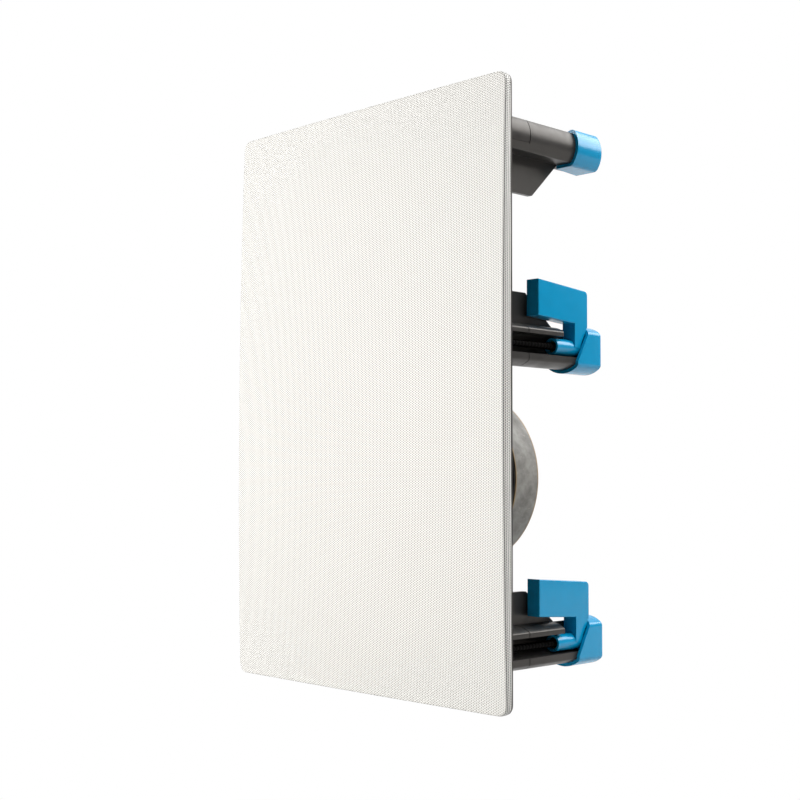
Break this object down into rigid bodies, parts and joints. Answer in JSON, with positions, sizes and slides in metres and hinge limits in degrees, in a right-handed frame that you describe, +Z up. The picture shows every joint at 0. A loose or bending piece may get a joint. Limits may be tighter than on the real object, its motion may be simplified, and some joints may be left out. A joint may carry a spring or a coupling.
{
  "type": "in-wall speaker",
  "caption": "Rectangular in-wall two-way speaker with a crowned perforated grille, black moulded frame and blue swing-out wall clamps on corner and side towers.",
  "frame": {"origin": "middle of the wall cut-out, in the plane of the flange's wall face", "axes": "+X to the right seen from the room, +Y into the wall, +Z up"},
  "size_m": [0.209, 0.0984, 0.316],
  "materials": {
    "grille_coat": "satin off-white powder coat",
    "black_plastic": "satin moulded",
    "blue_plastic": "semi-gloss moulded",
    "bright_steel": "zinc plated",
    "brass": "turned",
    "black_steel": "black coat",
    "ferrite": "ground ferrite",
    "gasket_board": "pressed fibre board",
    "surround_rubber": "matt",
    "cone_plastic": "satin moulded",
    "copper": "enamelled wire",
    "spider_cloth": "resin-dipped cloth",
    "dome_silk": "coated silk",
    "board_laminate": "green laminate",
    "capacitor_film": "sleeved",
    "resistor_ceramic": "ceramic",
    "lever_red": "moulded"
  },
  "bodies": {
    "frame": {"grille_magnets": "bright_steel", "frame": "black_plastic", "woofer_basket": "black_steel", "woofer_gasket": "gasket_board", "woofer_surround": "surround_rubber", "woofer_spider": "spider_cloth", "woofer_top_plate": "black_steel", "woofer_magnet": "ferrite", "woofer_yoke": "black_steel", "woofer_screws": "bright_steel", "tweeter_faceplate": "black_plastic", "tweeter_dome": "dome_silk", "tweeter_coil": "copper", "tweeter_top_plate": "black_steel", "tweeter_magnet": "ferrite", "tweeter_yoke": "black_steel", "tweeter_screws": "bright_steel", "crossover_board": "board_laminate", "crossover_coils": "copper", "crossover_capacitors": "capacitor_film", "crossover_resistor": "resistor_ceramic", "board_screws": "bright_steel", "terminal_block": "black_plastic", "tower_cap_1": "blue_plastic", "tower_cap_2": "blue_plastic", "tower_cap_3": "blue_plastic", "tower_cap_4": "blue_plastic", "tower_cap_5": "blue_plastic", "tower_cap_6": "blue_plastic"},
    "grille": {"grille": "grille_coat"},
    "cone": {"woofer_cone": "cone_plastic", "woofer_dust_cap": "cone_plastic", "woofer_voice_coil": "copper"},
    "lever_red": {"terminal_lever_red": "lever_red"},
    "lever_black": {"terminal_lever_black": "black_plastic"},
    "carriage_1": {"clamp_insert_1": "brass"},
    "clamp_1": {"clamp_1": "blue_plastic"},
    "screw_1": {"clamp_screw_1": "black_steel"},
    "carriage_2": {"clamp_insert_2": "brass"},
    "clamp_2": {"clamp_2": "blue_plastic"},
    "screw_2": {"clamp_screw_2": "black_steel"},
    "carriage_3": {"clamp_insert_3": "brass"},
    "clamp_3": {"clamp_3": "blue_plastic"},
    "screw_3": {"clamp_screw_3": "black_steel"},
    "carriage_4": {"clamp_insert_4": "brass"},
    "clamp_4": {"clamp_4": "blue_plastic"},
    "screw_4": {"clamp_screw_4": "black_steel"},
    "carriage_5": {"clamp_insert_5": "brass"},
    "clamp_5": {"clamp_5": "blue_plastic"},
    "screw_5": {"clamp_screw_5": "black_steel"},
    "carriage_6": {"clamp_insert_6": "brass"},
    "clamp_6": {"clamp_6": "blue_plastic"},
    "screw_6": {"clamp_screw_6": "black_steel"}
  },
  "joints": [
    {"name": "grille_pull", "type": "slide", "parent": "frame", "child": "grille", "axis": [0, -1, 0], "range_m": [0, 0.03]},
    {"name": "woofer_travel", "type": "slide", "parent": "frame", "child": "cone", "axis": [0, 1, 0], "range_m": [-0.004, 0.004], "stiffness_N_per_m": 1250, "deforming": ["woofer_surround", "woofer_spider"]},
    {"name": "lever_red_press", "type": "hinge", "parent": "frame", "child": "lever_red", "pos_m": [0.0115, 0.057, 0.08], "axis": [-1, 0, 0], "range_deg": [0, 12], "stiffness_Nm_per_rad": 0.05},
    {"name": "lever_black_press", "type": "hinge", "parent": "frame", "child": "lever_black", "pos_m": [0.0285, 0.057, 0.08], "axis": [-1, 0, 0], "range_deg": [0, 12], "stiffness_Nm_per_rad": 0.05},
    {"name": "clamp_draw_1", "type": "slide", "parent": "frame", "child": "carriage_1", "axis": [0, -1, 0], "range_m": [0, 0.008]},
    {"name": "clamp_swing_1", "type": "hinge", "parent": "carriage_1", "child": "clamp_1", "pos_m": [0.08495, 0.065, 0.0261], "axis": [0, 1, 0], "range_deg": [0, 90]},
    {"name": "screw_turn_1", "type": "hinge", "parent": "frame", "child": "screw_1", "pos_m": [0.08495, 0.004, 0.0261], "axis": [0, 1, 0], "continuous": true},
    {"name": "clamp_draw_2", "type": "slide", "parent": "frame", "child": "carriage_2", "axis": [0, -1, 0], "range_m": [0, 0.008]},
    {"name": "clamp_swing_2", "type": "hinge", "parent": "carriage_2", "child": "clamp_2", "pos_m": [0.08495, 0.065, -0.1292], "axis": [0, 1, 0], "range_deg": [0, 90]},
    {"name": "screw_turn_2", "type": "hinge", "parent": "frame", "child": "screw_2", "pos_m": [0.08495, 0.004, -0.1292], "axis": [0, 1, 0], "continuous": true},
    {"name": "clamp_draw_3", "type": "slide", "parent": "frame", "child": "carriage_3", "axis": [0, -1, 0], "range_m": [0, 0.008]},
    {"name": "clamp_swing_3", "type": "hinge", "parent": "carriage_3", "child": "clamp_3", "pos_m": [0.0796, 0.065, 0.13715], "axis": [0, 1, 0], "range_deg": [0, 90]},
    {"name": "screw_turn_3", "type": "hinge", "parent": "frame", "child": "screw_3", "pos_m": [0.0796, 0.004, 0.13715], "axis": [0, 1, 0], "continuous": true},
    {"name": "clamp_draw_4", "type": "slide", "parent": "frame", "child": "carriage_4", "axis": [0, -1, 0], "range_m": [0, 0.008]},
    {"name": "clamp_swing_4", "type": "hinge", "parent": "carriage_4", "child": "clamp_4", "pos_m": [-0.08495, 0.065, 0.025], "axis": [0, 1, 0], "range_deg": [0, 90]},
    {"name": "screw_turn_4", "type": "hinge", "parent": "frame", "child": "screw_4", "pos_m": [-0.08495, 0.004, 0.025], "axis": [0, 1, 0], "continuous": true},
    {"name": "clamp_draw_5", "type": "slide", "parent": "frame", "child": "carriage_5", "axis": [0, -1, 0], "range_m": [0, 0.008]},
    {"name": "clamp_swing_5", "type": "hinge", "parent": "carriage_5", "child": "clamp_5", "pos_m": [-0.08495, 0.065, 0.1292], "axis": [0, 1, 0], "range_deg": [0, 90]},
    {"name": "screw_turn_5", "type": "hinge", "parent": "frame", "child": "screw_5", "pos_m": [-0.08495, 0.004, 0.1292], "axis": [0, 1, 0], "continuous": true},
    {"name": "clamp_draw_6", "type": "slide", "parent": "frame", "child": "carriage_6", "axis": [0, -1, 0], "range_m": [0, 0.008]},
    {"name": "clamp_swing_6", "type": "hinge", "parent": "carriage_6", "child": "clamp_6", "pos_m": [-0.0796, 0.065, -0.13715], "axis": [0, 1, 0], "range_deg": [0, 90]},
    {"name": "screw_turn_6", "type": "hinge", "parent": "frame", "child": "screw_6", "pos_m": [-0.0796, 0.004, -0.13715], "axis": [0, 1, 0], "continuous": true}
  ],
  "couplings": [
    {"joint": "clamp_draw_1", "follows": "clamp_swing_1", "m_per_rad": 0.00509},
    {"joint": "clamp_draw_2", "follows": "clamp_swing_2", "m_per_rad": 0.00509},
    {"joint": "clamp_draw_3", "follows": "clamp_swing_3", "m_per_rad": 0.00509},
    {"joint": "clamp_draw_4", "follows": "clamp_swing_4", "m_per_rad": 0.00509},
    {"joint": "clamp_draw_5", "follows": "clamp_swing_5", "m_per_rad": 0.00509},
    {"joint": "clamp_draw_6", "follows": "clamp_swing_6", "m_per_rad": 0.00509}
  ]
}
